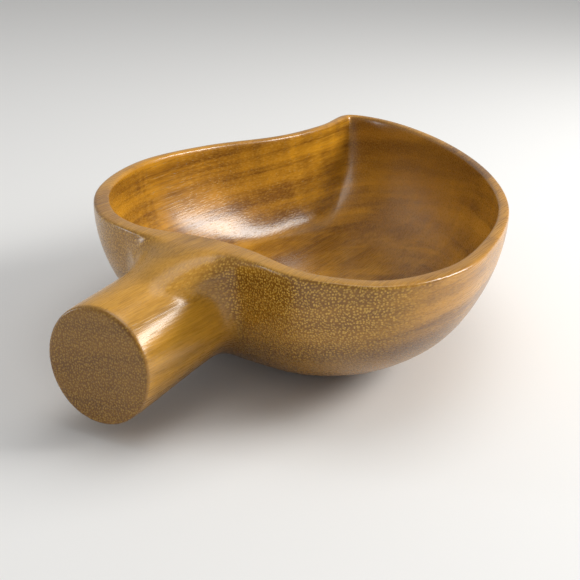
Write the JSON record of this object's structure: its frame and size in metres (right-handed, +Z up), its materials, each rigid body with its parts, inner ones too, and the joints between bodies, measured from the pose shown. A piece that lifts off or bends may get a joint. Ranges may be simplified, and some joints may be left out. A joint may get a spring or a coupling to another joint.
{
  "type": "wooden bowl with handle",
  "caption": "Leaf-shaped wooden serving bowl carved from one block, with a flat rim, a pointed tip and a round stub handle.",
  "frame": {"origin": "middle of the flat foot, on the table", "axes": "+Z up, -Y along the handle away from the bowl, +X to the right of the handle seen from its end"},
  "size_m": [0.1725, 0.2725, 0.055],
  "materials": {
    "oiled_wood": "golden brown hardwood, oiled to a satin gloss"
  },
  "bodies": {
    "root": {"carved_bowl": "oiled_wood"}
  },
  "joints": []
}
